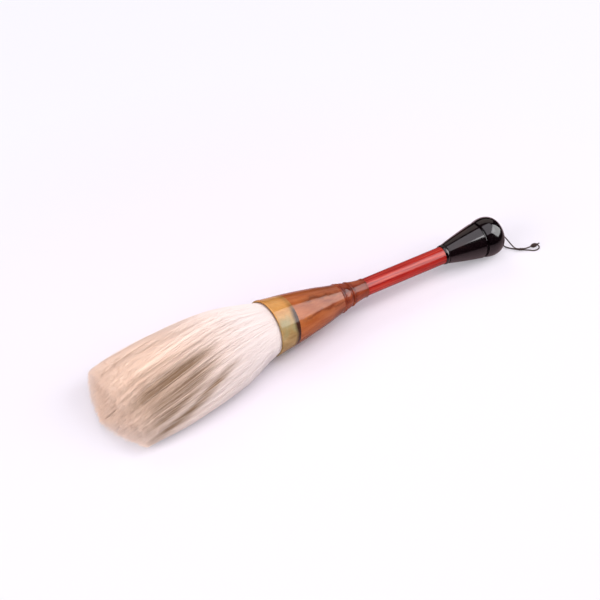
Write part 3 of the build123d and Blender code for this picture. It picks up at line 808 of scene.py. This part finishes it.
def make_hanging_loop():
    """The cord and its two knots."""
    material = thread("cord_thread", srgb(34, 22, 20), srgb(74, 50, 42), 2500)
    cord = make_cord()
    cord.data.materials.append(material)
    knot = wound_knot("loop_knot", KNOT_ENDS, 3, KNOT_TURN_RADIUS)
    end_knot = wound_knot("loop_end_knot", END_KNOT_ENDS, 5, END_KNOT_TURN_RADIUS, TAIL_ENDS)
    for piece in (knot, end_knot):
        piece.data.materials.append(material)
    for piece in (cord, knot, end_knot):
        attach(piece, "hanging_loop")
    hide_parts("cord_upper_leg", "cord_lower_leg", "cord_eye")
    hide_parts("cord_knot")
    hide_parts("cord_end_knot")


# ---- floor and light --------------------------------------------------------------------------

# What the floor gives back to the lamps' light, to reflections and to the camera. Reflections of
# it fade towards the viewer, and to the camera it glows far from the brush, which keeps it white.
FLOOR_HALF_WIDTH = 4.0
FLOOR_BOUNCE = (0.76, 0.74, 0.78)
FLOOR_MIRRORED = (0.5, 0.37, 0.39)
MIRRORED_FROM = -0.09
MIRRORED_TO = 0.0
FLOOR_SEEN = (0.82, 0.79, 0.84)
FLOOR_GLOW = (0.98, 0.97, 1.02)
GLOW_FROM = 0.065
GLOW_TO = 0.32
GLOW_SHARE = 0.8


def floor_white():
    """Matt white, told apart by ray: lamps' light, reflections and the camera each see their own."""
    material = bpy.data.materials.new("floor_white")
    material.use_nodes = True
    tree = material.node_tree
    tree.nodes.clear()
    path = add_node(tree, "ShaderNodeLightPath").outputs
    place = add_node(tree, "ShaderNodeTexCoord").outputs["Object"]
    across = add_node(tree, "ShaderNodeSeparateXYZ", {}, {0: place}).outputs[1]
    fade = add_node(tree, "ShaderNodeMapRange", {}, {
        0: across, 1: MIRRORED_FROM, 2: MIRRORED_TO}).outputs[0]
    mirrored = mix_colours(tree, fade, (0, 0, 0), FLOOR_MIRRORED)
    colour = mix_colours(tree, path["Is Glossy Ray"], FLOOR_BOUNCE, mirrored)
    colour = mix_colours(tree, path["Is Camera Ray"], colour, FLOOR_SEEN)
    matt = add_node(tree, "ShaderNodeBsdfDiffuse", {}, {"Color": colour}).outputs[0]
    glow = add_node(tree, "ShaderNodeEmission", {}, {"Color": rgba(FLOOR_GLOW)}).outputs[0]
    distance = add_node(tree, "ShaderNodeVectorMath", {"operation": "LENGTH"}, {
        0: place}).outputs["Value"]
    rise = add_node(tree, "ShaderNodeMapRange", {}, {
        0: distance, 1: GLOW_FROM, 2: GLOW_TO, 3: 0.0, 4: GLOW_SHARE}).outputs[0]
    share = add_node(tree, "ShaderNodeMath", {"operation": "MULTIPLY"}, {
        0: path["Is Camera Ray"], 1: rise}).outputs[0]
    mix = add_node(tree, "ShaderNodeMixShader", {}, {0: share, 1: matt, 2: glow}).outputs[0]
    add_node(tree, "ShaderNodeOutputMaterial", {}, {0: mix})
    return material


def make_floor():
    """A wide plain floor, which the camera sees near white with the soft shadow on it."""
    half = FLOOR_HALF_WIDTH
    corners = ((-half, -half, 0), (half, -half, 0), (half, half, 0), (-half, half, 0))
    floor = mesh_object("floor", corners, ((0, 1, 2, 3),), smooth=False)
    floor.data.materials.append(floor_white())


# A panel overhead, a bright box at the right, a dim card behind for reflections only, and three
# lamps that make no glare. For each: its name, place, aim, width and height in metres, power in
# watts and colour, whether it shows in reflections, and whether it lights matt surfaces.
LAMPS = (
    ("overhead_panel", (-0.125, -0.185, 1.21), (-0.125, 0.17, 0), (2.15, 1.38), 10.3,
     (1, 0.93, 1), True, True),
    ("right_box", (1.18, -0.66, 0.92), (0, 0, 0), (1.5, 1.3), 21.0, (1, 1, 1), True, True),
    ("back_card", (1.0, 2.2, 1.8), (0.1, 0, 0), (4.4, 1.9), 10.0, (1, 0.85, 0.8), True, False),
    ("back_key", (0.3, 1.5, 1.3), (0, 0, 0), (0.9, 0.9), 7.6, (1, 1, 1), False, True),
    ("front_fill", (-1.0, -1.3, 0.9), (-0.1, 0, 0), (1.6, 1.4), 3.4, (1, 0.95, 0.97),
     False, True),
    ("left_fill", (-1.65, -0.3, 0.7), (-0.1, 0, 0), (1.4, 1.1), 26.5, (1, 0.98, 0.97),
     False, True),
)
ROOM_COLOUR = srgb(240, 208, 238)
ROOM_STRENGTH = 0.13


def area_light(name, place, aim, size, power, colour, mirrored, lights_matt):
    """A soft box that points at a place."""
    data = bpy.data.lights.new(name, "AREA")
    data.shape = "RECTANGLE"
    data.size, data.size_y = size
    data.energy = power
    data.color = colour
    lamp = bpy.data.objects.new(name, data)
    bpy.context.collection.objects.link(lamp)
    lamp.location = place
    lamp.rotation_euler = (Vector(aim) - Vector(place)).to_track_quat("-Z", "Y").to_euler()
    lamp.visible_glossy = mirrored
    lamp.visible_diffuse = lights_matt


def make_light():
    """The lamps, and a dim even light from all round that makes no reflections."""
    for lamp in LAMPS:
        area_light(*lamp)
    world = bpy.data.worlds.new("studio")
    world.use_nodes = True
    background = world.node_tree.nodes["Background"]
    background.inputs["Color"].default_value = rgba(ROOM_COLOUR)
    background.inputs["Strength"].default_value = ROOM_STRENGTH
    world.cycles_visibility.glossy = False
    bpy.context.scene.world = world


# ---- the scene --------------------------------------------------------------------------------

place_camera()
make_hanging_loop()
give(amber_horn(), "horn_cup")
give(pale_horn(), "mouth_band")
give(neck_horn(), "front_neck_ring", "neck_bead", "rear_neck_ring", "neck_collar")
give(red_lacquer(), "handle")
give(black_horn(), "cap_neck_ring", "cap_cone", "cap_crown")
give(wood_of_the_peg(), "cord_peg")
give(rosin(), "root_rosin")
give(thread("binding_thread", srgb(112, 34, 26), srgb(160, 66, 48), 3000), "root_binding")
make_hair()
make_floor()
make_light()
bpy.context.scene.view_settings.view_transform = "Standard"
